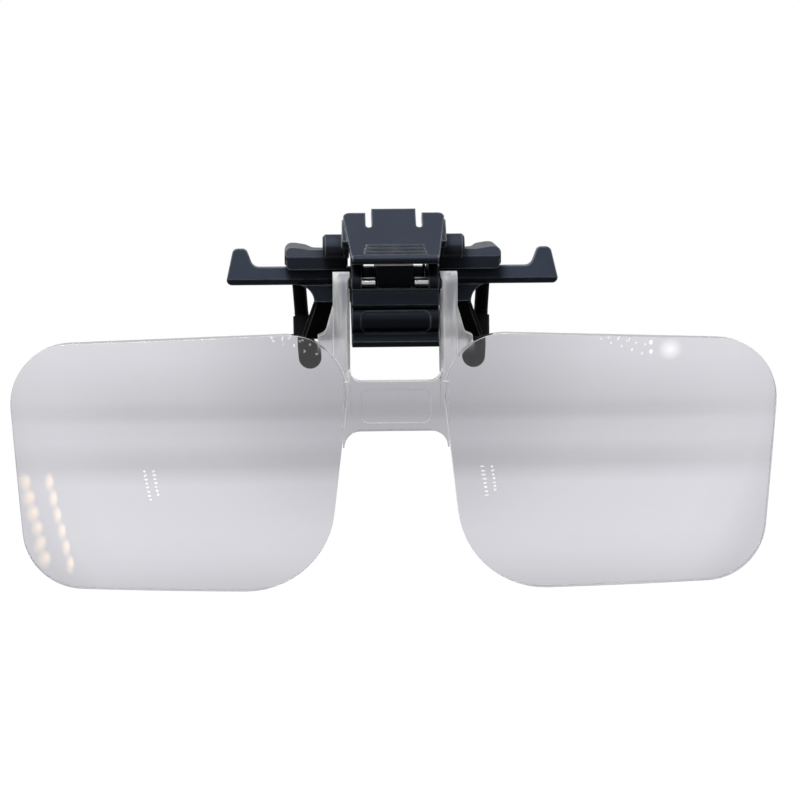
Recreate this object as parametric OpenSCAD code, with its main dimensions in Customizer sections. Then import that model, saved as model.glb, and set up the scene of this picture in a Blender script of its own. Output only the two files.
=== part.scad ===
// Clip-on hat magnifier: a twin lens on a spring clip for the brim of a cap.
// Millimetres, +Z up, -Y towards the front, x = 0 the mirror plane; left is -X.
// The origin is the middle of the brim slot, level with its closed end.
// Shapes are written about the lens hinge axis and moved there at the end.

/* [Twin lens] */
// Width of one lens between its upper corners before they are rounded
lens_w = 63.1; // [55:0.1:70]
// Height of one lens at its inner side before the corners are rounded
lens_h = 47.9; // [40:0.1:55]
// How far the lower inner corner is set out from the upper inner corner
lens_in_slant = 5.7; // [4:0.1:12]
// How far the lower outer corner is set in from the upper outer corner
lens_out_slant = 3.1; // [0:0.1:6]
// How far the upper edge falls towards the outer side
lens_top_fall = 2; // [0:0.1:4]
// How far the lower edge rises towards the outer side
lens_low_rise = 1.6; // [0:0.1:4]
// Upper inner corner radius
lens_r_in_top = 11; // [6:0.5:14]
// Lower inner corner radius
lens_r_in_low = 16; // [8:0.5:18]
// Upper outer corner radius
lens_r_out_top = 11; // [5:0.5:14]
// Lower outer corner radius
lens_r_out_low = 11; // [5:0.5:14]
// Thickness at the middle of each lens
lens_t = 4.5; // [3.5:0.1:6]
// Radius of the curved front face
lens_front_r = 245; // [180:1:400]
// Distance of the lens's upper inner corner below the hinge axis
lens_drop = 8.6; // [7:0.1:12]
// Distance of the flat rear face in front of the hinge axis
lens_set = 1; // [0.5:0.1:1.5]
// Distance of the bridge's upper edge below the hinge axis
bridge_drop = 17.7; // [15:0.1:20]
// Height of the bridge
bridge_h = 9.1; // [6:0.1:12]
// Thickness of the bridge
bridge_t = 2.6; // [2:0.1:3]
// Depth of the bare recessed panel on the bridge
panel_deep = 0.35; // [0.2:0.05:0.6]
// Margin round the bare panel on the bridge
panel_margin = 1.5; // [0.6:0.1:2]

/* [Hinge arms] */
// Thickness of each arm across the hinge
arm_t = 3.05; // [2.4:0.05:4]
// Radius of the rounded upper end of each arm
arm_r = 2.1; // [1.8:0.05:2.4]
// Depth of each arm behind the hinge axis at its root
arm_root = 3.5; // [2.5:0.1:4.5]
// Distance of the lower end of each arm's rear rib below the hinge axis
arm_rib = 25; // [22:0.5:32]
// Thickness of that rib
rib_t = 1; // [0.8:0.1:1.4]
// Width of the arm's foot behind the lens's rounded corner
arm_foot = 0.5; // [0.4:0.1:1.2]
// Chamfer on the inner front edge of each arm
arm_chamfer = 0.55; // [0.3:0.05:0.9]
// Width of the gusset between arm and lens
gusset_w = 2.8; // [2:0.1:3.6]
// Height of the gusset between arm and lens
gusset_h = 4.6; // [3.6:0.1:5.4]
// Side gap between arm and hinge block
arm_gap = 0.35; // [0.3:0.05:0.5]
// Thickness of the friction washers
washer_t = 0.5; // [0.4:0.05:0.6]
// Depth of each washer's seat in its arm
washer_seat = 0.25; // [0.25:0.05:0.3]
// Outer radius of the friction washers
washer_r = 1.9; // [1.5:0.05:2]

/* [Pins] */
// Radius of the lens hinge pins
lens_pin_r = 1; // [0.8:0.05:1.2]
// Distance of each lens pin's inner end from the mirror plane
lens_pin_in = 3.6; // [3.5:0.05:4.5]
// Radius of the lever's pivot pin
pivot_pin_r = 1; // [0.8:0.05:1.1]
// Radial running clearance of bores round the pins
run_clear = 0.05; // [0.02:0.01:0.1]
// Wall left at the blind end of the pin bores
blind_wall = 0.7; // [0.5:0.05:1]
// Gap left between a pin's end and the blind end of its bore
pin_end_gap = 0.1; // [0.05:0.05:0.2]

/* [Hinge block] */
// Half-width of the hinge block
block_half = 7.9; // [7:0.1:9]
// Radius of the round barrel across the block's front
barrel_r = 2.65; // [2.2:0.05:3]
// Height of the barrel's middle below the hinge axis
barrel_drop = 6.5; // [6:0.1:7]
// Depth of the bare recessed panel on the barrel
barrel_panel = 0.2; // [0.1:0.05:0.4]
// Distance of the block's lower edge below the hinge axis
lip_drop = 11.3; // [10.8:0.1:12]
// Height of the block's ledge band
ledge_h = 2.7; // [2:0.1:2.8]
// Distance of the window floor below the hinge axis
floor_drop = 1.1; // [1.05:0.05:1.4]
// Half-width of the post between the windows
post_half = 3; // [2.4:0.1:3.2]
// How much wider each side of the post is at its top
post_flare = 0.5; // [0:0.1:0.6]
// Height of the post's top above the hinge axis
post_top = 3.1; // [2:0.1:3.3]
// Thickness of the ears that carry both pins
ear_t = 1.8; // [1.4:0.1:2]
// Radius of the ears round each pin
ear_r = 2.2; // [1.9:0.05:2.4]

/* [Brim bar] */
// Half-length of the bar
bar_half = 31; // [26:0.1:36]
// Distance of the bar's front face behind the hinge axis
bar_y = 9; // [8.5:0.1:10]
// Thickness of the bar
bar_t = 2.3; // [1.8:0.1:2.6]
// Height of the bar's top above the hinge axis
bar_top = 2.2; // [1.6:0.05:2.3]
// Height of the bar
bar_h = 3.3; // [2.6:0.1:4]
// Height of the dark chamfered strip along the bar's lower front edge
strip_h = 1.1; // [0.6:0.1:1.4]
// Depth of that strip's chamfer
strip_deep = 0.5; // [0.2:0.05:0.8]
// How far the bar's front face leans back over a height of 1 above the strip
face_lean = 0.22; // [0:0.02:0.28]
// Height of the upturned ends above the bar
fin_h = 3.4; // [2:0.1:4.5]
// Width of each upturned end at its top
fin_w = 2.4; // [1.8:0.1:3.5]
// How far the outer side of each upturned end leans in
fin_lean = 1.5; // [0.8:0.1:2.2]
// Half-width of the bracket under the bar
bracket_half = 14.6; // [13:0.1:15.5]
// Height of the bracket under the bar
bracket_h = 3.2; // [2.6:0.1:4]
// Thickness of the bracket's skin in front of the grip pads
skin_t = 1; // [0.8:0.05:1.2]

/* [Grip pads] */
// Distance of each pad's inner edge from the mirror plane
pad_in = 9; // [8.4:0.1:10]
// Distance of each pad's lower outer corner from the mirror plane
pad_out = 17.1; // [15.6:0.1:18]
// Thickness of the grip pads
pad_t = 1.4; // [1:0.1:1.8]
// Height of each grip pad below the bracket
pad_h = 7; // [5:0.1:9]
// Depth that each grip pad goes up behind the bracket's skin
pad_seat = 2.4; // [1.6:0.1:2.8]
// Width of the bevel on each pad's outer edge
pad_bevel = 0.6; // [0.3:0.05:0.8]

/* [Bar screws] */
// Distance of each screw from the mirror plane
screw_x = 5; // [4:0.1:6]
// Radius of the screw shanks
screw_r = 0.8; // [0.6:0.05:1]
// Radius of the countersunk screw heads
screw_head_r = 1.6; // [1.3:0.05:1.8]
// Length of the screws
screw_l = 7; // [5:0.1:8]

/* [Thumb lever] */
// Distance of the lever's pivot behind the hinge axis
pivot_y = 5; // [4.6:0.1:5.4]
// Height of the lever's pivot above the hinge axis
pivot_z = 6.3; // [6.15:0.05:6.6]
// Height of the pad's lower edge above the hinge axis
thumb_low_z = 4.75; // [4.65:0.05:5.2]
// Distance of the pad's lower edge in front of the hinge axis
thumb_low_y = 4; // [3.6:0.1:4.6]
// Slope of the thumb pad
thumb_tilt = 42.8; // [38:0.1:48]
// Length of the thumb pad up its slope
thumb_l = 11.4; // [9:0.1:12]
// Thickness of the thumb pad
thumb_t = 1.5; // [1.2:0.1:1.6]
// Half-width of the thumb pad at its lower edge
thumb_half_low = 7.9; // [6.5:0.1:7.9]
// Half-width of the thumb pad at its upper edge
thumb_half_top = 9.4; // [9:0.1:10]
// Extra height of the tab between the slots
tab_rise = 1; // [0.5:0.1:1.6]
// Distance of each slot's middle from the mirror plane
slot_x = 4.6; // [3.5:0.1:5.5]
// Width of the slots
slot_w = 1.1; // [1:0.1:2]
// Depth of the slots below the pad's upper edge
slot_l = 3.1; // [2:0.1:4]
// Radius of the rolled lower edge
roll_r = 0.55; // [0.4:0.05:0.7]
// Radius of the grip ridges
ridge_r = 0.3; // [0.2:0.05:0.4]
// Spacing of the grip ridges
ridge_step = 0.85; // [0.8:0.05:1.2]
// Distance of the lowest grip ridge above the pad's lower edge
ridge_first = 1.4; // [1.3:0.05:2]
// Half-length of the grip ridges
ridge_half = 5.6; // [4:0.1:6]
// Thickness of the lever's side walls
wall_t = 1.3; // [0.9:0.05:1.5]
// Outer radius of the knuckles on the pivot pin
knuckle_r = 2.25; // [2:0.05:2.4]
// Chamfer on the knuckles' outer ends
knuckle_edge = 0.45; // [0.2:0.05:0.6]
// Length of each knuckle outside its side wall
knuckle_l = 3.5; // [2.8:0.05:3.8]

/* [Wings and legs] */
// Distance of each wing's outer end from the mirror plane
wing_out = 20; // [19.5:0.1:21]
// Distance of the wings' front face behind the hinge axis
wing_y = 6.5; // [6:0.1:7.5]
// Depth of the wings from front to back
wing_d = 5; // [4:0.1:6]
// Thickness of the wings
wing_t = 3; // [2.4:0.1:3.2]
// Height of the sloped band along each wing's upper front edge
wing_slope_h = 1.4; // [0.6:0.1:1.6]
// Depth of that band
wing_slope_d = 0.7; // [0.3:0.1:0.9]
// Height of the rounded boss on each wing over the leg
hump_h = 0.4; // [0.2:0.05:0.8]
// How far the wings' front skirt hangs below their underside
skirt_h = 0.75; // [0.6:0.05:0.8]
// Thickness of that skirt from front to back
skirt_d = 1.6; // [1:0.1:1.7]
// Distance of each leg's top from the mirror plane
leg_x = 17.8; // [17:0.1:18]
// Distance of each leg's top behind the hinge axis
leg_y = 17; // [16.4:0.1:18]
// Radius of the legs
leg_r = 1.3; // [0.9:0.05:1.35]
// How far each leg's end is set in from its top
leg_in = 1.6; // [0:0.1:2]
// How far each leg's end comes forward from its top
leg_fore = 3.2; // [2:0.1:3.4]
// Distance of each leg's end below the hinge axis
leg_drop = 15.7; // [14:0.1:19]
// Radius of the round boss that holds each leg
boss_r = 2; // [1.7:0.05:2.2]
// Length of the rubber sleeves above the leg's end
sleeve_l = 8.4; // [6:0.1:10]
// Radius of the sleeves at the top
sleeve_r = 1.65; // [1.5:0.05:1.8]
// Radius of the rounded foot of the sleeves
foot_r = 2.1; // [1.8:0.05:2.1]

/* [Springs] */
// Wire radius of the torsion springs
wire_r = 0.3; // [0.2:0.01:0.35]
// Mean radius of the coils
coil_r = 1.75; // [1.6:0.05:1.9]
// Turns of each coil
coil_turns = 3; // [2:1:3]
// Distance from one turn to the next
coil_pitch = 1.05; // [1.02:0.01:1.15]

/* [Fits] */
// Least gap between pieces that move past each other
part_gap = 0.3; // [0.25:0.05:0.35]

/* [Hidden] */
$fn = 48;
eps = 0.01;

arm_in = block_half + arm_gap;
arm_out = arm_in + arm_t;
lens_in_x = arm_in - 0.85;
lens_out_x = lens_in_x + lens_w;
lens_top = -lens_drop;
lens_low = lens_top - lens_h;
lens_mid = [lens_in_x + lens_w / 2 + 1.15, lens_top - lens_h / 2];
bridge_front = -lens_set - 2.2;

pin_bore = lens_pin_r + run_clear;
lens_pin_out = arm_out - blind_wall - pin_end_gap;
ear_in = block_half - ear_t;
ledge_top = -floor_drop;
ledge_low = ledge_top - ledge_h;
barrel_y = -1;
bar_rear = bar_y + bar_t;
bar_low = bar_top - bar_h;
bracket_low = bar_low - bracket_h;
pad_y = bar_y + skin_t;
pad_rear = pad_y + pad_t;
screw_z = (bar_low + bracket_low) / 2;

wall_in = block_half + part_gap;
wall_out = wall_in + wall_t;
knuckle_out = wall_out + knuckle_l;
wing_low = bar_top + 0.45;
wing_top = wing_low + wing_t;
wing_rear = leg_y + boss_r - 0.3;
leg_seat = [leg_x, leg_y, wing_top - 0.6];
leg_end = [leg_x - leg_in, leg_y - leg_fore, -leg_drop];
leg_knee = [leg_x - leg_in * 0.55, leg_y - leg_fore * 0.35, -leg_drop * 0.45];

brim_slot_y = (pad_rear + leg_y - leg_r) / 2;
brim_stop_z = bar_top + 0.15;

// Colours
plastic = [0.27, 0.29, 0.34];
black = [0.09, 0.09, 0.1];
clear = [0.85, 0.88, 0.9, 0.35];
steel = [0.75, 0.76, 0.78];
rubber = [0.22, 0.23, 0.28];

// Outlines

// Outline of one lens, its edges moved inwards by inset
function lens_outline(inset = 0) = rounded(
    [[lens_in_x + inset, lens_top - inset],
     [lens_out_x - inset, lens_top - lens_top_fall - inset],
     [lens_out_x - lens_out_slant - inset, lens_low + lens_low_rise + inset],
     [lens_in_x + lens_in_slant + inset, lens_low + inset]],
    [for (r = [lens_r_in_top, lens_r_out_top, lens_r_out_low, lens_r_in_low]) r - inset]);

// Closed outline through points pts, its corners rounded by radii
function rounded(pts, radii) = [
    for (i = [0:len(pts) - 1])
        let (n = len(pts), p = pts[i], u = unit(pts[(i + n - 1) % n] - p),
             v = unit(pts[(i + 1) % n] - p), r = radii[i])
        each r == 0 ? [p] : corner_arc(p, u, v, r, acos(u * v) / 2)];

function corner_arc(p, u, v, r, half) =
    let (c = p + unit(u + v) * r / sin(half), t = r / tan(half),
         a = angle_of(p + u * t - c), b = angle_of(p + v * t - c),
         turn = (b - a + 540) % 360 - 180, n = max(3, ceil(abs(turn) / 7)))
    [for (k = [0:n]) c + r * [cos(a + turn * k / n), sin(a + turn * k / n)]];

function unit(v) = v / norm(v);
function angle_of(v) = atan2(v[1], v[0]);

// Places and directions

module in_frame() translate([0, -brim_slot_y, -brim_stop_z]) children();
module left() mirror([1, 0, 0]) children();
module both_sides() { children(); left() children(); }

// An outline in x and z, made solid from y0 to y1
module front_plate(y0, y1) translate([0, y1, 0]) rotate([90, 0, 0])
    linear_extrude(y1 - y0) children();

// An outline in y and z, made solid from x0 to x1
module side_plate(x0, x1) translate([x0, 0, 0]) rotate([90, 0, 90])
    linear_extrude(x1 - x0) children();

// A round bar along x about (y, z)
module axle(r, x0, x1, y = 0, z = 0) translate([x0, y, z]) rotate([0, 90, 0])
    cylinder(r = r, h = x1 - x0);

// A shape along z, moved to start at point a and point towards b
module along(a, b) {
    d = b - a;
    translate(a) rotate([0, acos(d[2] / norm(d)), angle_of(d)]) children();
}

// A round bar from point a to point b
module rod(a, b, r) along(a, b) cylinder(r = r, h = norm(b - a));

// Twin lens: two lenses, the bridge and the two hinge arms in one moulding

module lens_body() intersection() {
    front_plate(-lens_set - lens_t - 1, -lens_set) polygon(lens_outline());
    translate([lens_mid[0], -lens_set, lens_mid[1]]) rotate([90, 0, 0]) front_ball();
}

// The ball whose surface is the lens's curved front, with its poles off the lens
module front_ball() translate([0, 0, lens_t - lens_front_r]) rotate([90, 0, 0])
    sphere(r = lens_front_r, $fn = 480);

module bridge() difference() {
    front_plate(bridge_front, bridge_front + bridge_t) {
        translate([-arm_in - 1.6, -bridge_drop - bridge_h]) square([2 * arm_in + 3.2, bridge_h]);
        both_sides() translate([arm_in, -bridge_drop]) corner_fill(2);
        both_sides() translate([arm_in + 1.2, -bridge_drop - bridge_h]) mirror([0, 1])
            corner_fill(3);
    }
    front_plate(bridge_front - 1, bridge_front + panel_deep)
        polygon(rounded([for (s = [[-1, 0], [1, 0], [1, 1], [-1, 1]])
            [s[0] * (arm_in - 1.9), -bridge_drop - panel_margin
                - s[1] * (bridge_h - 2 * panel_margin)]], [1.5, 1.5, 1.5, 1.5]));
}

// The hollow corner left of x = 0 and above y = 0, filled to radius r
module corner_fill(r) difference() {
    translate([-r, -eps]) square([r + 0.3, r + eps]);
    translate([-r, r]) circle(r = r);
}

module arm() difference() {
    union() {
        difference() {
            union() {
                side_plate(arm_in, arm_out) arm_outline(bridge_drop + 6);
                gusset();
            }
            front_plate(-lens_set, arm_root + 1) polygon(lens_outline(arm_foot));
        }
        side_plate(arm_in, arm_in + rib_t) arm_outline(arm_rib);
    }
    axle(pin_bore, arm_in - 1, arm_out - blind_wall);
    axle(washer_r, arm_in - 1, arm_in + washer_seat);
    translate([arm_in, -arm_r, -bridge_drop]) rotate([0, 0, 45])
        cube([arm_chamfer * sqrt(2), arm_chamfer * sqrt(2), 4 * bridge_drop], center = true);
}

// Side view of an arm that runs down to the given drop
module arm_outline(drop) {
    circle(r = arm_r);
    translate([0, -arm_r]) square([arm_r, arm_r]);
    polygon(rounded([[-arm_r, 0], [-arm_r, -drop + 1.5], [-lens_set - 0.6, -drop],
        [-lens_set + 0.1, -drop], [arm_root * 0.8, -bridge_drop + 3],
        [arm_root, -lens_drop - 2.5], [arm_r, -arm_r], [arm_r, 0]], [0, 0, 0, 0, 8, 4, 6, 0]));
}

// Web that joins the arm's outer side to the top of the lens
module gusset() front_plate(-lens_set - 0.6, arm_r - 0.2) polygon(rounded(
    [[arm_out - 0.5, lens_top + gusset_h], [arm_out, lens_top + gusset_h],
     [arm_out + gusset_w * 0.5, lens_top - 0.3], [arm_out + gusset_w, lens_top - 0.9],
     [arm_out + gusset_w, lens_top - 5], [arm_out - 0.5, lens_top - 5]],
    [0, 0, 1.4, 0, 0, 0]));

module twin_lens() color(clear) in_frame() {
    both_sides() { lens_body(); arm(); }
    bridge();
}

module friction_washer() color(black) in_frame() difference() {
    axle(washer_r, arm_in + washer_seat - washer_t, arm_in + washer_seat);
    axle(pin_bore, arm_in - 1, arm_in + 1);
}

module lens_pin() color(steel) in_frame() axle(lens_pin_r, lens_pin_in, lens_pin_out);

// Hinge block

module hinge_block() color(plastic) in_frame() difference() {
    union() {
        side_plate(-block_half, block_half) polygon([
            [-3.4, ledge_low], [-2.9, ledge_top], [bar_y, ledge_top], [bar_y, bracket_low],
            [2.6, -lip_drop + 2.6], [0.6, -lip_drop], [-3.9, -lip_drop],
            [-3.9, -lip_drop + 1], [-2.4, -lip_drop + 2.2], [barrel_y, -barrel_drop],
            [-2.6, ledge_low]]);
        barrel();
        side_plate(-block_half, block_half) translate([-2.8, ledge_top]) circle(r = 0.3);
        both_sides() ear();
        front_plate(0, bar_y) polygon([[-post_half - 0.1, ledge_top - 1],
            [post_half + 0.1, ledge_top - 1], [post_half + post_flare, post_top],
            [-post_half - post_flare, post_top]]);
    }
    both_sides() {
        axle(lens_pin_r, ear_in - 1, block_half + 1);
        axle(pivot_pin_r, ear_in - 1, block_half + 1, pivot_y, pivot_z);
        translate([screw_x, bar_rear - screw_l, screw_z]) rotate([-90, 0, 0])
            cylinder(r = screw_r, h = screw_l);
    }
    side_plate(-block_half + 1.6, block_half - 1.6)
        polygon([[3.4, bracket_low + 1.4], [3.4, bracket_low - 4], [-0.2, -lip_drop - 1],
                 [-1.8, -lip_drop - 1], [-1.8, -barrel_drop - 1], [0.6, -barrel_drop + 0.6]]);
}

module barrel() difference() {
    axle(barrel_r, -block_half, block_half, barrel_y, -barrel_drop);
    intersection() {
        front_plate(barrel_y - barrel_r - 1, barrel_y) translate([0, -barrel_drop - 0.3])
            polygon(rounded([[-6.3, -1.9], [6.3, -1.9], [6.3, 1.9], [-6.3, 1.9]],
                            [1.2, 1.2, 1.2, 1.2]));
        difference() {
            axle(barrel_r + 1, -block_half, block_half, barrel_y, -barrel_drop);
            axle(barrel_r - barrel_panel, -block_half, block_half, barrel_y, -barrel_drop);
        }
    }
}

module ear() side_plate(ear_in, block_half) {
    circle(r = ear_r);
    translate([pivot_y, pivot_z]) circle(r = ear_r);
    rotate(atan2(pivot_z, pivot_y)) translate([0, -ear_r])
        square([norm([pivot_y, pivot_z]), 2 * ear_r]);
    polygon([[-ear_r, ledge_top - 0.5], [-ear_r, 0], [pivot_y, pivot_z],
             [pivot_y + ear_r, pivot_z], [pivot_y + ear_r, ledge_top - 0.5]]);
}

// Brim bar, its screws and the grip pads

module brim_bar() color(plastic) in_frame() difference() {
    union() {
        both_sides() front_plate(bar_y, bar_rear) bar_outline();
        front_plate(bar_y, bar_rear) bracket_outline();
    }
    ridge = bar_low + strip_h;
    lean_top = bar_top + fin_h + 1;
    side_plate(-bar_half - 1, bar_half + 1) polygon([
        [bar_y - 1, lean_top], [bar_y + face_lean * (lean_top - ridge), lean_top],
        [bar_y, ridge], [bar_y + strip_deep, bar_low], [bar_y + strip_deep, bar_low - eps],
        [bar_y - 1, bar_low - eps]]);
    both_sides() {
        front_plate(pad_y, bar_rear + 1) pad_outline(0.02);
        screw_hole();
    }
}

module bar_outline() polygon(rounded(
    [[-eps, bar_low], [bar_half, bar_low], [bar_half - fin_lean, bar_top + fin_h],
     [bar_half - fin_lean - fin_w, bar_top + fin_h], [bar_half - 5.2, bar_top], [-eps, bar_top]],
    [0, 1, fin_w / 2.4, fin_w / 2.4, 1.6, 0]));

module bracket_outline() difference() {
    translate([-bracket_half - bracket_h, bracket_low])
        square([2 * (bracket_half + bracket_h), bracket_h + 0.5]);
    both_sides() translate([bracket_half + bracket_h, bar_low - bracket_h])
        circle(r = bracket_h);
}

module pad_outline(grow = 0) {
    low = bracket_low - pad_h;
    seat = bracket_half - 0.8 + grow;
    polygon(rounded([[pad_in - grow, low], [pad_out, low], [bracket_half, bracket_low],
        [seat, bracket_low], [seat, bracket_low + pad_seat + grow],
        [pad_in - grow, bracket_low + pad_seat + grow]], [0.8, 0.8, 0, 0, 0, 0]));
}

module grip_pad() color(black) in_frame() difference() {
    front_plate(pad_y, pad_rear) pad_outline();
    rise = [bracket_half - pad_out, pad_h];
    translate([pad_out, pad_y, bracket_low - pad_h])
        rotate([0, -atan2(-rise[0], rise[1]), 0]) rotate([0, 0, 45])
            cube([pad_bevel * sqrt(2), pad_bevel * sqrt(2), 2 * norm(rise) - 0.6],
                 center = true);
}

module screw_hole() translate([screw_x, bar_rear, screw_z]) rotate([90, 0, 0]) {
    cylinder(r1 = screw_head_r, r2 = screw_r, h = screw_head_r - screw_r);
    cylinder(r = screw_r, h = screw_l);
}

module bar_screws() color(steel) in_frame() both_sides() difference() {
    screw_hole();
    translate([screw_x, bar_rear, screw_z]) for (a = [0, 90]) rotate([0, a, 0])
        cube([1.6, 1, 0.35], center = true);
}

// Thumb lever with its knuckles and wings

module thumb_lever() color(plastic) in_frame() difference() {
    union() {
        in_pad_plane() {
            translate([0, 0, -thumb_t]) linear_extrude(thumb_t) thumb_outline();
            for (i = [0:2])
                axle(ridge_r, -ridge_half + i * 0.2, ridge_half - i * 0.2,
                     ridge_first + i * ridge_step);
        }
        axle(roll_r, 0.15 - thumb_half_low, thumb_half_low - 0.15,
             -thumb_low_y + 0.2, thumb_low_z);
        both_sides() {
            side_wall();
            knuckle();
            wing();
        }
    }
    both_sides() {
        axle(pivot_pin_r + run_clear, wall_in - 1, knuckle_out - blind_wall,
             pivot_y, pivot_z);
    }
}

// x across, y up the slope of the thumb pad, z out of its face
module in_pad_plane() translate([0, -thumb_low_y, thumb_low_z])
    rotate([thumb_tilt, 0, 0]) children();

module thumb_outline() difference() {
    union() {
        polygon(rounded([[-thumb_half_low, 0], [thumb_half_low, 0],
                         [thumb_half_top, thumb_l], [-thumb_half_top, thumb_l]],
                        [0.3, 0.3, 1.1, 1.1]));
        translate([-slot_x, thumb_l - 1]) square([2 * slot_x, 1 + tab_rise]);
    }
    both_sides() translate([slot_x, thumb_l - slot_l]) {
        circle(r = slot_w / 2);
        translate([-slot_w / 2, 0]) square([slot_w, slot_l + tab_rise + 1]);
    }
}

module side_wall() side_plate(wall_in, wall_out) {
    low = [-thumb_low_y, thumb_low_z];
    slope = [cos(thumb_tilt), sin(thumb_tilt)];
    in = 0.6 * [sin(thumb_tilt), -cos(thumb_tilt)];
    translate([pivot_y, pivot_z]) circle(r = knuckle_r - 0.1);
    polygon([low + 0.42 * thumb_l * slope + in, low + (thumb_l - 1.2) * slope + in,
             [pivot_y + knuckle_r - 0.4, pivot_z], [pivot_y - knuckle_r + 0.3, pivot_z - 0.2]]);
}

module knuckle() translate([wall_out - 0.4, pivot_y, pivot_z]) rotate([0, 90, 0])
    rotate_extrude() polygon([[0, 0], [knuckle_r, 0], [knuckle_r, knuckle_l + 0.4 - knuckle_edge],
        [knuckle_r - knuckle_edge, knuckle_l + 0.4], [0, knuckle_l + 0.4]]);

module wing() difference() {
    union() {
        intersection() {
            translate([0, 0, wing_low - 1]) linear_extrude(wing_t + 3) wing_plan();
            front_plate(wing_y - 1, wing_rear + 1) wing_front();
        }
        front_plate(wing_y, wing_y + skirt_d) polygon(rounded(
            [[wall_in + 0.3, wing_low - skirt_h], [wing_out - 0.3, wing_low - skirt_h],
             [wing_out - 0.3, wing_low + 1], [wall_in + 0.3, wing_low + 1]], [0, 0.8, 0, 0]));
    }
    slope_end = wing_top + 2 * hump_h;
    side_plate(knuckle_out - 0.3, wing_out + 1) polygon([
        [wing_y - 1, wing_top - wing_slope_h], [wing_y, wing_top - wing_slope_h],
        [wing_y + wing_slope_d * (slope_end - wing_top + wing_slope_h) / wing_slope_h, slope_end],
        [wing_y - 1, slope_end]]);
    rod(leg_knee, leg_seat, leg_r);
}

module wing_plan() polygon(rounded(
    [[wall_in + 0.15, wing_y], [wing_out, wing_y], [wing_out, wing_rear],
     [leg_x - boss_r + 0.2, wing_rear], [leg_x - boss_r - 1.2, wing_y + wing_d],
     [wall_in + 0.15, wing_y + wing_d]], [0, 0.6, 1.6, 1.2, 1.6, 0]));

// The wing from the front, with the low hump over the leg
module wing_front() polygon(rounded(
    [[wall_in - 1, wing_low], [wing_out, wing_low], [wing_out, wing_top + hump_h],
     [leg_x - boss_r + 2.2, wing_top + hump_h], [leg_x - boss_r - 0.3, wing_top],
     [wall_in - 1, wing_top]], [0, 0.5, 1.3, 1.6, 2, 0]));

// Legs and their rubber sleeves

module leg() color(black) in_frame() {
    rod(leg_end, leg_knee, leg_r);
    translate(leg_knee) sphere(r = leg_r + 0.04);
    rod(leg_knee, leg_seat, leg_r);
}

module tip() color(rubber) in_frame() along(leg_end, leg_knee) rotate_extrude()
    polygon(concat([for (a = [-90:6:0]) foot_r * [cos(a), sin(a)]],
        [[foot_r, 2], [sleeve_r, sleeve_l], [leg_r, sleeve_l], [leg_r, 0], [0, 0]]));

module pivot_pin() color(steel) in_frame()
    axle(pivot_pin_r, -knuckle_out + blind_wall + pin_end_gap,
         knuckle_out - blind_wall - pin_end_gap, pivot_y, pivot_z);

// Torsion springs: each is one wire, from the pad's underside round the pin to the floor

coil_out = ear_in - wire_r - 0.1;
coil_steps = 8;
pad_leg_lean = 13;
pad_leg_l = 5.85;
floor_leg_lean = 10;
start_turn = 90 + thumb_tilt - pad_leg_lean;
turned = start_turn - floor_leg_lean + 360 * coil_turns;
coil_points = round(turned / 360 * coil_steps);

// Points of the coil from its inner end, k from 0 to 1, and the wire's direction there
function coil_angle(k) = start_turn - turned * k;
function coil_point(k) = [coil_out - coil_pitch * turned / 360 * (1 - k),
    pivot_y + coil_r * cos(coil_angle(k)), pivot_z + coil_r * sin(coil_angle(k))];
function coil_way(k) = [0, sin(coil_angle(k)), -cos(coil_angle(k))];

coil_list = [for (i = [0:coil_points]) coil_point(i / coil_points)];
floor_leg_l = (coil_point(1)[2] - ledge_top - wire_r - 0.02) / -coil_way(1)[2];
spring_path = concat([coil_point(0) - pad_leg_l * coil_way(0)], coil_list,
                     [coil_point(1) + floor_leg_l * coil_way(1)]);

// Least gap between the turns, measured on the points of the coil
coil_gap = min([for (i = [0:len(coil_list) - 1], j = [0:len(coil_list) - 1])
    if (j - i > coil_steps / 2) norm(coil_list[j] - coil_list[i])]) - 2 * wire_r;
echo(least_gap_between_turns = coil_gap);

// A wire of radius r along the points of path, which run round the x direction
module wire(path, r, sides = 6) {
    n = len(path);
    rings = [for (i = [0:n - 1])
        let (way = unit(path[min(i + 1, n - 1)] - path[max(i - 1, 0)]),
             b = unit([1, 0, 0] - way[0] * way), m = cross(b, way))
        each [for (k = [0:sides - 1])
            path[i] + r * (cos(360 * k / sides) * m + sin(360 * k / sides) * b)]];
    polyhedron(rings, concat(
        [[for (k = [0:sides - 1]) k]],
        [for (i = [0:n - 2], k = [0:sides - 1])
            [i * sides + k, (i + 1) * sides + k,
             (i + 1) * sides + (k + 1) % sides, i * sides + (k + 1) % sides]],
        [[for (k = [sides - 1:-1:0]) (n - 1) * sides + k]]), convexity = 6);
}

module torsion_spring() color(steel) in_frame() wire(spring_path, wire_r);

// Nodes

hinge_block();
brim_bar();
bar_screws();
left() grip_pad();  // grip_pad_left
grip_pad();  // grip_pad_right
pivot_pin();
left() lens_pin();  // lens_pin_left
lens_pin();  // lens_pin_right
left() torsion_spring();  // torsion_spring_left
torsion_spring();  // torsion_spring_right
thumb_lever();
left() leg();  // leg_left
leg();  // leg_right
left() tip();  // tip_left
tip();  // tip_right
twin_lens();
left() friction_washer();  // friction_washer_left
friction_washer();  // friction_washer_right
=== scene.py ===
"""Clip-on hat magnifier: the looks of a twin clear lens on a dark sprung brim clip.

Metres, +Z up, -Y towards the front. The CAD frame's origin is the middle of the brim slot.
"""
import math
from collections import namedtuple

import bpy
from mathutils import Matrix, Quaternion, Vector


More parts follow.
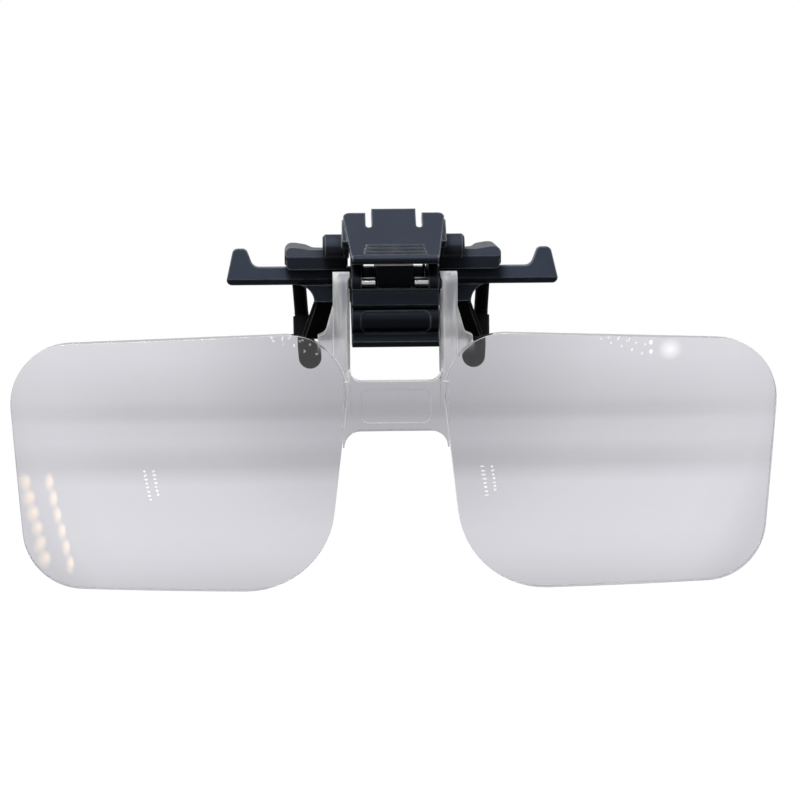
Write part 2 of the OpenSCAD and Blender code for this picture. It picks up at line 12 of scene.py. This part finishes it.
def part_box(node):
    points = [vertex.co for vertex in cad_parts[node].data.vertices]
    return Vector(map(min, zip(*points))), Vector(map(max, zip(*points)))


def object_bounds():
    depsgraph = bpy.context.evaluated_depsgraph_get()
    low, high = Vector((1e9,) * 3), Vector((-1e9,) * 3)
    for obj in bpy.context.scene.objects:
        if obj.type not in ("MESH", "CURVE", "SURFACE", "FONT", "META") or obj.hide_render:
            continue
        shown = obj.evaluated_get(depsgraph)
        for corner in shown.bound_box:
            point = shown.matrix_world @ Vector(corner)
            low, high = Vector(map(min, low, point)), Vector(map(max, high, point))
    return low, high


MM = 0.001

# The photograph's viewpoint: a long lens, a little above and to one side, rolled slightly
TARGET = Vector((0.7, -17.0, -23.4)) * MM
DISTANCE = 450 * MM
ELEVATION, YAW, ROLL = math.radians(8.0), math.radians(2.6), math.radians(0.25)
FOCAL = 111.4
SENSOR = 36.0
AWAY = Vector((-math.sin(YAW) * math.cos(ELEVATION), -math.cos(YAW) * math.cos(ELEVATION),
               math.sin(ELEVATION)))
CAMERA_PLACE = TARGET + AWAY * DISTANCE

# The satin hinge arms of the clear moulding, from the mirror plane outwards and down
ARM_IN, ARM_OUT, ARM_FOOT = 8.2 * MM, 14.3 * MM, -15.0 * MM
CHAMFER = 0.8 * MM
CHAMFER_FOOT = 1.35 * ARM_FOOT
# Between these, round the bridge, the moulding's edges get a painted glow
BRIGHT_IN, BRIGHT_OUT = 7 * MM, 24 * MM
# The lens's painted shade pales within the first of these reaches from the arms' foot, and its
# bands fade from FADE_START on
PAINTED_SHADE_REACH = 75 * MM
FADE_START, FADE_LENGTH = 46 * MM, 24 * MM

# How far the plastic's painted edge highlight, the acrylic's rounded edges and the painted shade
# in gaps reach
EDGE_RADIUS = 0.44 * MM
ACRYLIC_EDGE = 0.25 * MM
SHADE_REACH = 6 * MM
EDGE_GAIN = 5.0

FLOOR_SIZE = 1.2
FLOOR_BACK = 0.3
FLOOR_DROP = 60 * MM
FLOOR_LIT, FLOOR_SEEN, FLOOR_GLOW = 0.3, 0.12, 0.98
WORLD_LEVEL = 0.03

# The lenses' round fronts, which mirror small lamps: the right one's foremost point
LENS_APEX = Vector((40.1, -19.05, -34.9)) * MM
LENS_FRONT_RADIUS = 245 * MM
# The depths of the lamps, in millimetres
NEAR, CEILING, FAR = -128, -1650, -3800
# A near lamp faces a point at NEAR_TURN of its distance from the mirror plane, the others FAR_AIM
NEAR_LAMPS = -0.2
NEAR_TURN = 0.4
FAR_AIM = Vector((0, 0, -40)) * MM
LAYER_GAP = 0.5 * MM
# The power of an elliptical lamp: pi * radiance over the area pi / 4 * width * height
ELLIPSE_POWER = math.pi ** 2 / 4
WARM, WHITE = (1.0, 0.69, 0.3), (1.0, 0.96, 0.9)

# Sockets of a colour Mix node
MIX_FACTOR, MIX_FIRST, MIX_SECOND, MIX_RESULT = 0, 6, 7, 2

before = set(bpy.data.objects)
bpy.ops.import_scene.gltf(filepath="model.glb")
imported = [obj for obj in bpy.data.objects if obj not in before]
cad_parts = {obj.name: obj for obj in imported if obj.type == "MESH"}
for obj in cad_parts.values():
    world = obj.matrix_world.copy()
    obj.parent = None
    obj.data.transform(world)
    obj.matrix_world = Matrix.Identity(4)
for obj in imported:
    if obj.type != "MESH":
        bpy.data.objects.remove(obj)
cad_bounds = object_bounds()
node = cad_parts


# Colours

def srgb(r, g, b):
    """A colour given as on screen, 0 to 255, as linear light."""
    def linear(c):
        c /= 255
        return c / 12.92 if c <= 0.04045 else ((c + 0.055) / 1.055) ** 2.4
    return tuple(linear(c) for c in (r, g, b))


def grey(level):
    """A grey of the given linear level."""
    return (level, level, level)


# Node helpers

class Shader:
    """A material's node tree, with short calls for adding and joining nodes."""

    def __init__(self, name):
        self.material = bpy.data.materials.new(name)
        self.material.use_nodes = True
        self.tree = self.material.node_tree
        self.principled = self.tree.nodes["Principled BSDF"]
        self.output = self.tree.nodes["Material Output"]

    def add(self, kind, **values):
        """A new node, with its sockets' values or its own settings given by name."""
        made = self.tree.nodes.new(kind)
        for key, value in values.items():
            if key in made.inputs:
                made.inputs[key].default_value = value
            else:
                setattr(made, key, value)
        return made

    def join(self, source, target):
        self.tree.links.new(source, target)

    def set(self, **values):
        """Set the Principled shader's own sockets, with _ for a blank in their names."""
        for key, value in values.items():
            self.principled.inputs[key.replace("_", " ")].default_value = value

    def drive(self, **sources):
        """Join sources to the Principled shader's sockets, named as in set."""
        for key, source in sources.items():
            self.join(source, self.principled.inputs[key.replace("_", " ")])

    def place(self):
        """Where a point is on the object, in metres."""
        return self.add("ShaderNodeTexCoord").outputs["Object"]

    def noise(self, scale, detail, stretch=(1, 1, 1)):
        mapping = self.add("ShaderNodeMapping")
        mapping.inputs["Scale"].default_value = stretch
        self.join(self.place(), mapping.inputs["Vector"])
        made = self.add("ShaderNodeTexNoise", Scale=scale, Detail=detail)
        self.join(mapping.outputs["Vector"], made.inputs["Vector"])
        return made.outputs["Fac"]

    def ramp(self, source, stops):
        made = self.add("ShaderNodeValToRGB")
        elements = made.color_ramp.elements
        while len(elements) < len(stops):
            elements.new(0.5)
        for element, (where, colour) in zip(elements, stops):
            element.position = where
            element.color = (*colour, 1)
        self.join(source, made.inputs["Fac"])
        return made.outputs["Color"]

    def math(self, operation, first, second=None, clamp=False):
        made = self.add("ShaderNodeMath", operation=operation, use_clamp=clamp)
        for i, value in enumerate((first, second)):
            if value is None:
                continue
            if isinstance(value, (int, float)):
                made.inputs[i].default_value = value
            else:
                self.join(value, made.inputs[i])
        return made.outputs[0]

    def times(self, first, second):
        return self.math("MULTIPLY", first, second)

    def scaled(self, source, spread, least):
        """The source, 0 to 1, as a value that runs from least to least + spread."""
        return self.math("ADD", self.times(source, spread), least)

    def mix(self, factor, first, second, blend="MIX"):
        made = self.add("ShaderNodeMix", data_type="RGBA", blend_type=blend)
        for i, value in ((MIX_FACTOR, factor), (MIX_FIRST, first), (MIX_SECOND, second)):
            if isinstance(value, (int, float)):
                made.inputs[i].default_value = value
            elif isinstance(value, tuple):
                made.inputs[i].default_value = (*value, 1)
            else:
                self.join(value, made.inputs[i])
        return made.outputs[MIX_RESULT]

    def mottled(self, cloud, colour, darker, paler):
        """The colour, between so much darker and so much paler from place to place."""
        return self.mix(cloud, tuple(c * darker for c in colour), tuple(c * paler for c in colour))

    def edges(self, radius):
        """Rounded edge normals, and a mask that is 1 where an edge turns."""
        bevel = self.add("ShaderNodeBevel", samples=6, Radius=radius)
        flat = self.add("ShaderNodeNewGeometry")
        dot = self.add("ShaderNodeVectorMath", operation="DOT_PRODUCT")
        self.join(bevel.outputs["Normal"], dot.inputs[0])
        self.join(flat.outputs["Normal"], dot.inputs[1])
        turn = self.math("SUBTRACT", 1.0, dot.outputs["Value"], clamp=True)
        return bevel.outputs["Normal"], self.math("MULTIPLY", turn, EDGE_GAIN, clamp=True)

    def hollow_shade(self, reach):
        """Painted shade: 1 on open faces, falling to dark in corners and gaps narrower than reach.
        """
        made = self.add("ShaderNodeAmbientOcclusion", samples=8, Distance=reach)
        return self.ramp(made.outputs["AO"], [(0.25, grey(0.12)), (0.5, grey(0.42)),
                                              (0.85, grey(1))])

    def facing_light(self):
        """Painted light and shade by facing: 1 on faces that tilt back, darker on upright and on
        level ones.
        """
        split = self.add("ShaderNodeSeparateXYZ")
        self.join(self.add("ShaderNodeTexCoord").outputs["Normal"], split.inputs["Vector"])
        up = self.times(self.math("ADD", split.outputs["Z"], 1.0), 0.5)
        return self.ramp(up, [(0.5, grey(0.34)), (0.59, grey(1)), (0.7, grey(0.85)),
                              (0.93, grey(0.72)), (0.985, grey(0.3))])

    def bump(self, height, strength, distance, normal=None):
        made = self.add("ShaderNodeBump", Strength=strength, Distance=distance)
        self.join(height, made.inputs["Height"])
        if normal is not None:
            self.join(normal, made.inputs["Normal"])
        self.drive(Normal=made.outputs["Normal"])


# Materials

def moulded_plastic(name, colour, edge_highlight, gloss, grain=0.3, rough=0.46):
    """Fine-grained moulded plastic, with a painted highlight along its edges, paler in patches,
    and painted shade in gaps and by which way a face turns.
    """
    s = Shader(name)
    s.set(Specular_IOR_Level=gloss, IOR=1.5)
    rounded, edge = s.edges(EDGE_RADIUS)
    body = s.mottled(s.noise(160, 4), colour, 0.88, 1.1)
    patchy = s.ramp(s.noise(420, 2), [(0.3, grey(0.6)), (0.65, grey(1))])
    # A painted highlight along the edges, paler in patches
    painted_edge_highlight = s.times(s.times(edge, patchy), 0.9)
    # Painted shade in corners and gaps, times painted light and shade by which way a face turns
    shade = s.mix(1.0, s.hollow_shade(SHADE_REACH), s.facing_light(), "MULTIPLY")
    s.drive(Base_Color=s.mix(painted_edge_highlight, s.mix(1.0, body, shade, "MULTIPLY"), edge_highlight),
            Roughness=s.scaled(s.noise(900, 2), 0.14, rough - 0.07))
    s.bump(s.noise(5200, 2), grain * 0.4, 0.02 * MM, rounded)
    return s.material


def bright_steel(name):
    """Drawn steel wire and pins, with fine lines along their length."""
    s = Shader(name)
    s.set(Metallic=1.0)
    lines = s.noise(1600, 3, (0.08, 1, 1))
    s.drive(Base_Color=s.mix(lines, (0.30, 0.30, 0.31), (0.48, 0.48, 0.49)),
            Roughness=s.scaled(lines, 0.16, 0.18))
    s.bump(lines, 0.15, 0.01 * MM)
    return s.material


def soft_rubber(name, colour):
    """Dull rubber with a fine pebbled skin."""
    s = Shader(name)
    s.set(Specular_IOR_Level=0.06, IOR=1.52)
    cloud = s.noise(240, 4)
    s.drive(Base_Color=s.mottled(cloud, colour, 0.8, 1.2), Roughness=s.scaled(cloud, 0.15, 0.62))
    s.bump(s.noise(2600, 2), 0.3, 0.03 * MM)
    return s.material


def clear_acrylic(name, low, high):
    """Clear acrylic with painted grey shade in soft bands, satin on the arms.

    The painted shade is deeper towards the bridge. low and high are the heights of its foot and
    top.
    """
    s = Shader(name)
    s.set(IOR=1.49, Specular_IOR_Level=0.38, Emission_Color=(1, 1, 1, 1))
    split = s.add("ShaderNodeSeparateXYZ")
    s.join(s.place(), split.inputs["Vector"])
    across, up = s.math("ABSOLUTE", split.outputs["X"]), split.outputs["Z"]
    rounded, edge = s.edges(ACRYLIC_EDGE)

    # Painted shade, by the distance from the middle of the arms' foot
    flat = s.add("ShaderNodeCombineXYZ")
    s.join(across, flat.inputs["X"])
    s.join(s.math("SUBTRACT", up, ARM_FOOT), flat.inputs["Z"])
    away = s.add("ShaderNodeVectorMath", operation="LENGTH")
    s.join(flat.outputs["Vector"], away.inputs[0])
    painted_shade = s.ramp(s.math("DIVIDE", away.outputs["Value"], PAINTED_SHADE_REACH), [
        (d * MM / PAINTED_SHADE_REACH, srgb(g, g - 1, g + 5)) for d, g in (
            (0, 184), (14, 186), (20, 192), (28, 202), (36, 212), (44, 217), (62, 221),
            (68, 219), (74, 206))])

    # Soft bands of painted shade, by height, weaker towards the outer sides
    rise = s.math("DIVIDE", s.math("SUBTRACT", up, low), high - low)
    bands = s.ramp(rise, [(h, grey(g)) for h, g in (
        (0.0, 0.76), (0.03, 0.80), (0.063, 0.86), (0.12, 0.93), (0.18, 0.96), (0.34, 0.96),
        (0.375, 0.85), (0.40, 0.76), (0.43, 0.77), (0.475, 0.86), (0.53, 0.84), (0.555, 0.74),
        (0.58, 0.74), (0.61, 0.81), (0.68, 0.89), (0.74, 0.96), (0.79, 0.98))])
    outwards = s.math("DIVIDE", s.math("SUBTRACT", across, FADE_START), FADE_LENGTH, clamp=True)
    faded = s.mix(s.times(outwards, 0.5), bands, grey(0.94))
    clear = s.mix(1.0, painted_shade, faded, "MULTIPLY")

    # The satin arms and their inner chamfers, with pale streaks
    side = s.math("GREATER_THAN", across, ARM_IN)

    def strip(outer, foot, fade):
        within = s.times(side, s.math("LESS_THAN", across, outer))
        return s.times(within, s.math("DIVIDE", s.math("SUBTRACT", up, foot), fade, clamp=True))

    satin = s.math("MAXIMUM", strip(ARM_OUT, ARM_FOOT, 6 * MM),
                   strip(ARM_IN + CHAMFER, CHAMFER_FOOT, 1 * MM))
    streaks = s.ramp(s.noise(620, 2, (1, 1, 0.12)), [(0.4, (0.52, 0.53, 0.58)), (0.58, grey(1))])
    opaque = s.math("MAXIMUM", s.times(satin, 0.68), s.times(edge, 0.7))
    # Round the bridge the edges get a painted glow
    bridge = s.times(s.math("GREATER_THAN", across, BRIGHT_IN),
                     s.math("LESS_THAN", across, BRIGHT_OUT))

    # The edges are painted near white, a painted highlight
    s.drive(Base_Color=s.mix(edge, s.mix(satin, clear, streaks), (0.97, 0.97, 0.98)),
            Roughness=s.times(satin, 0.6),
            Transmission_Weight=s.math("SUBTRACT", 1.0, opaque),
            Emission_Strength=s.times(s.times(edge, bridge), 0.2),
            Normal=rounded)
    return s.material


# Each plastic's second colour is the painted highlight along its edges
PLASTIC = moulded_plastic("moulded_plastic", srgb(68, 75, 89), srgb(186, 191, 197), 0.05,
                          rough=0.38)
# The hinge block: a darker copy of the same plastic, painted shade for where it sits between the
# arms and under the lever
SHADED = moulded_plastic("moulded_plastic_painted_shade", srgb(30, 35, 42), srgb(118, 125, 134), 0.04,
                         rough=0.38)
BLACK = moulded_plastic("black_plastic", srgb(6, 6, 7), srgb(120, 122, 126), 0.02, grain=0.2)
STEEL = bright_steel("steel")
RUBBER = soft_rubber("rubber", srgb(12, 12, 15))
lens_low, lens_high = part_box("twin_lens")
ACRYLIC = clear_acrylic("clear_acrylic", lens_low[2], lens_high[2])

FINISH = {
    "hinge_block": SHADED, "brim_bar": PLASTIC, "thumb_lever": PLASTIC,
    "grip_pad_left": BLACK, "grip_pad_right": BLACK, "leg_left": BLACK, "leg_right": BLACK,
    "friction_washer_left": BLACK, "friction_washer_right": BLACK,
    "bar_screws": STEEL, "pivot_pin": STEEL, "lens_pin_left": STEEL, "lens_pin_right": STEEL,
    "torsion_spring_left": STEEL, "torsion_spring_right": STEEL,
    "tip_left": RUBBER, "tip_right": RUBBER, "twin_lens": ACRYLIC,
}
for name, material in FINISH.items():
    slots = node[name].data.materials
    for i in range(len(slots)):
        slots[i] = material


# Stage: floor, world, lights and camera

def white_floor():
    """A pale floor well below the part, white to the eye and soft with its shadow.

    From below it lets the eye through, so that the part can be seen from under it.
    """
    bpy.ops.mesh.primitive_plane_add(
        size=FLOOR_SIZE, location=(0, FLOOR_BACK, cad_bounds[0][2] - FLOOR_DROP))
    floor = bpy.context.object
    floor.name = "floor"
    s = Shader("floor")
    s.set(Roughness=0.9, Specular_IOR_Level=0.0)
    # 1 for rays that show the stage itself: straight, mirrored or through glass
    path = s.add("ShaderNodeLightPath").outputs
    seen = s.math("MAXIMUM", path["Is Camera Ray"], s.math(
        "MAXIMUM", path["Is Glossy Ray"], path["Is Transmission Ray"]))
    s.drive(Base_Color=s.mix(seen, grey(FLOOR_LIT), grey(FLOOR_SEEN)))
    glow = s.add("ShaderNodeEmission", Color=(1, 1, 1, 1))
    s.join(s.times(seen, FLOOR_GLOW), glow.inputs["Strength"])
    both = s.add("ShaderNodeAddShader")
    s.join(s.principled.outputs["BSDF"], both.inputs[0])
    s.join(glow.outputs["Emission"], both.inputs[1])
    sides = s.add("ShaderNodeMixShader")
    s.join(s.add("ShaderNodeNewGeometry").outputs["Backfacing"], sides.inputs["Fac"])
    s.join(both.outputs["Shader"], sides.inputs[1])
    s.join(s.add("ShaderNodeBsdfTransparent").outputs["BSDF"], sides.inputs[2])
    s.join(sides.outputs["Shader"], s.output.inputs["Surface"])
    floor.data.materials.append(s.material)


def white_world(level):
    """A white surround, which lights the part at the given level."""
    world = bpy.data.worlds.new("world")
    bpy.context.scene.world = world
    world.use_nodes = True
    tree = world.node_tree
    back = tree.nodes["Background"]
    back.inputs["Color"].default_value = (1, 1, 1, 1)
    path = tree.nodes.new("ShaderNodeLightPath")
    total = path.outputs["Is Camera Ray"]
    for other in ("Is Glossy Ray", "Is Transmission Ray"):
        seen = tree.nodes.new("ShaderNodeMath")
        seen.operation = "MAXIMUM"
        tree.links.new(total, seen.inputs[0])
        tree.links.new(path.outputs[other], seen.inputs[1])
        total = seen.outputs[0]
    strength = tree.nodes.new("ShaderNodeMapRange")
    strength.inputs["To Min"].default_value = level
    strength.inputs["To Max"].default_value = 1.0
    tree.links.new(total, strength.inputs["Value"])
    tree.links.new(strength.outputs["Result"], back.inputs["Strength"])


def softbox(name, place, size, power, aim=(0, 0, 0), colour=(1, 1, 1)):
    """A rectangular lamp of the given power in watts, turned to face aim."""
    lamp = bpy.data.lights.new(name, "AREA")
    lamp.shape = "RECTANGLE"
    lamp.size, lamp.size_y = size
    lamp.energy = power
    lamp.color = colour
    made = bpy.data.objects.new(name, lamp)
    bpy.context.collection.objects.link(made)
    made.location = place
    made.rotation_euler = (Vector(aim) - Vector(place)).to_track_quat("-Z", "Y").to_euler()
    made.visible_transmission = False
    return made


def glint(name, place, size, radiance, colour, layers):
    """A small round lamp that shows only as its mirror image in the lenses.

    Several layers, each smaller than the last, give it a soft rim.
    """
    aim = (place.x * NEAR_TURN, 0, place.z) if place.y > NEAR_LAMPS else FAR_AIM
    for k in range(layers):
        wide, high = (length * (1 - k / layers) for length in size)
        power = ELLIPSE_POWER * wide * high * radiance / layers
        made = softbox(f"{name}_{k}", place - Vector((0, k * LAYER_GAP, 0)), (wide, high), power,
                       aim=aim, colour=colour)
        made.data.shape = "ELLIPSE"
        made.visible_camera = made.visible_diffuse = False


def mirrored(image, depth):
    """Where a lamp stands, at this depth, if the camera sees its image at this place on a lens."""
    x, z = (length * MM for length in image)
    apex = Vector((math.copysign(LENS_APEX.x, x), LENS_APEX.y, LENS_APEX.z))
    bulge = Vector((x - apex.x, 0, z - apex.z))
    bulge.y = -math.sqrt(LENS_FRONT_RADIUS ** 2 - bulge.length_squared)
    point = apex + Vector((0, LENS_FRONT_RADIUS, 0)) + bulge
    outwards = bulge.normalized()
    sight = (point - CAMERA_PLACE).normalized()
    bounced = sight - 2 * sight.dot(outwards) * outwards
    return point + bounced * ((depth * MM - point.y) / bounced.y)


# A row of lamps, in millimetres: where the first and the last one's image shows on a lens, as
# x and z, their depth, how many there are and each one's size; then radiance, colour and layers
Row = namedtuple("Row", "first last depth count size radiance colour layers", defaults=(1,))
ROOM_LAMPS = (
    # Two white rows, low on each lens
    Row((-44.75, -40.9), (-45.75, -35.65), FAR, 8, (24, 12), 11, WHITE),
    Row((-43.35, -39.95), (-44.05, -35.65), FAR, 7, (24, 12), 11, WHITE),
    # Slanting rows of sparkles at the top of each lens, then a bright pair and a soft patch
    Row((-24.4, -13.25), (-14.5, -14.65), CEILING, 7, (6, 6), 7, WHITE),
    Row((-22.45, -13.85), (-15.0, -15.75), CEILING, 5, (6, 6), 7, WHITE),
    Row((-26.55, -12.85), (-17.35, -13.95), CEILING, 6, (6, 6), 7, WHITE),
    Row((-13.45, -14.4), (-13.45, -15.5), CEILING, 2, (10, 10), 14, WHITE),
    Row((49.85, -15.25), (49.85, -15.25), CEILING, 1, (78, 50), 8, WHITE, 6),
    # Two warm strips, low at the outer side of the left lens
    Row((-59.5, -52.6), (-62.95, -37.55), NEAR, 6, (3.7, 8.0), 10, WARM, 5),
    Row((-63.75, -51.55), (-67.0, -37.6), NEAR, 6, (4.8, 7.6), 8.5, WARM, 5),
)


def room_lamps():
    """Rows of small lamps in front of the part, which the lenses mirror."""
    for i, row in enumerate(ROOM_LAMPS):
        start, end = mirrored(row.first, row.depth), mirrored(row.last, row.depth)
        size = tuple(length * MM for length in row.size)
        for j in range(row.count):
            place = start.lerp(end, j / max(1, row.count - 1))
            glint(f"room_lamp_{i}_{j}", place, size, row.radiance, row.colour, row.layers)


def photo_camera():
    """The camera that took the photograph, as matched to it."""
    camera = bpy.data.cameras.new("camera")
    camera.lens, camera.sensor_width = FOCAL, SENSOR
    made = bpy.data.objects.new("camera", camera)
    bpy.context.collection.objects.link(made)
    made.location = CAMERA_PLACE
    level = (-AWAY).to_track_quat("-Z", "Y")
    made.rotation_euler = (Quaternion(-AWAY, ROLL) @ level).to_euler()
    bpy.context.scene.camera = made


white_floor()
white_world(WORLD_LEVEL)
softbox("overhead", (0, -0.12, 0.6), (0.6, 0.16), 1.4)
softbox("front", (-0.15, -0.45, 0.6), (0.3, 0.16), 3.8)
room_lamps()
photo_camera()
bpy.context.scene.view_settings.view_transform = "Standard"
